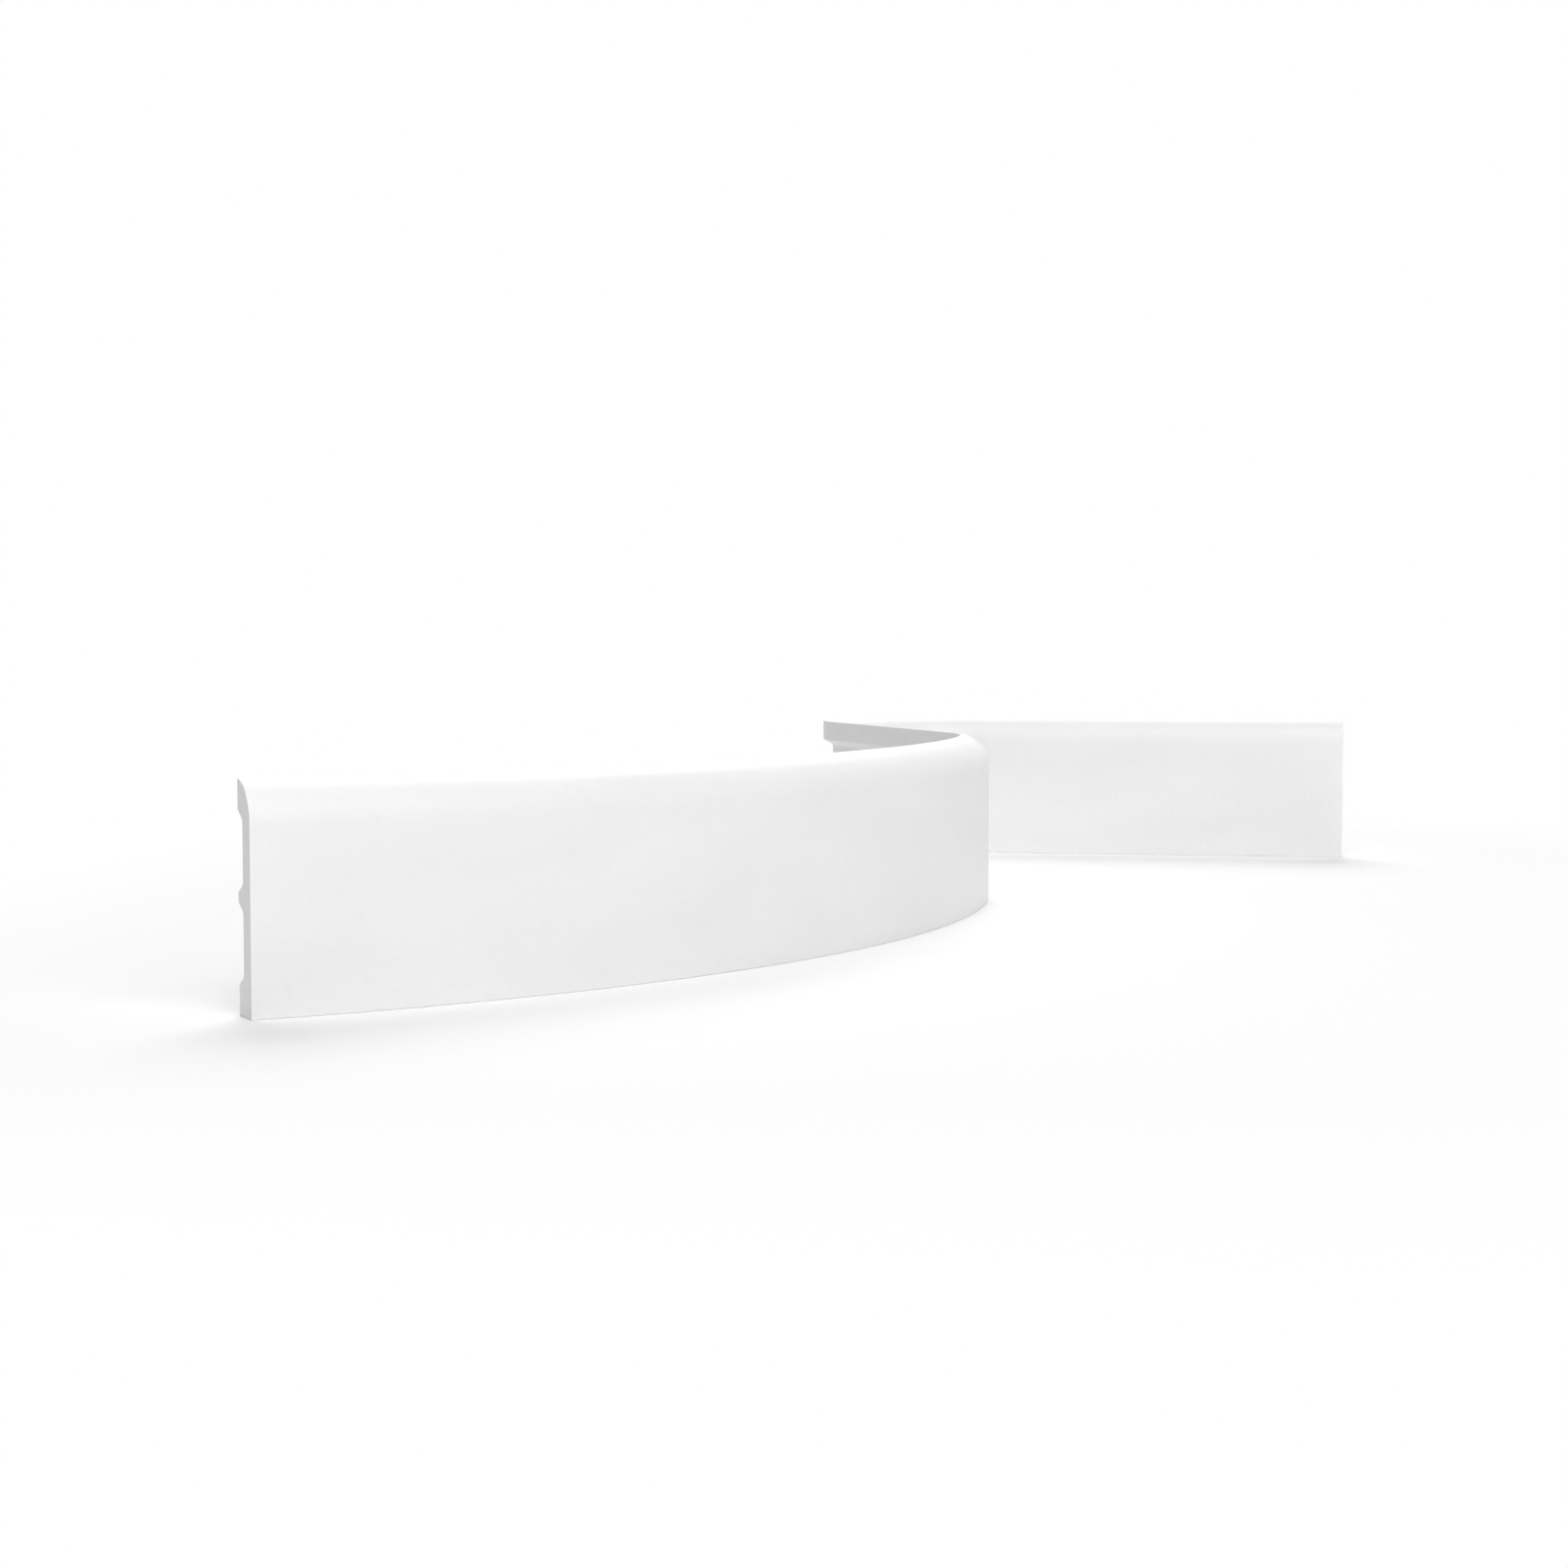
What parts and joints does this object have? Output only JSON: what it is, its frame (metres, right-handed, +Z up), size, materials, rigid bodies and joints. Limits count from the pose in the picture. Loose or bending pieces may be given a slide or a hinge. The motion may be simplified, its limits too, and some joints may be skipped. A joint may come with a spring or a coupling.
{
  "type": "flexible skirting board",
  "caption": "Flexible white skirting board with a plain face, a rounded top edge and a recessed, ribbed back, bent in an S to follow a wavy wall and cover the joint with the floor.",
  "frame": {"origin": "middle of the bent board's footprint, on the floor", "axes": "+Z up, +X along the straight tail towards its cut end, +Y from the room to the wall behind the tail"},
  "size_m": [0.3646, 0.6868, 0.075],
  "materials": {
    "primed_polymer": "white primer on moulded flexible polyurethane, matt to satin"
  },
  "bodies": {
    "root": {"skirting_board": "primed_polymer"}
  },
  "joints": []
}
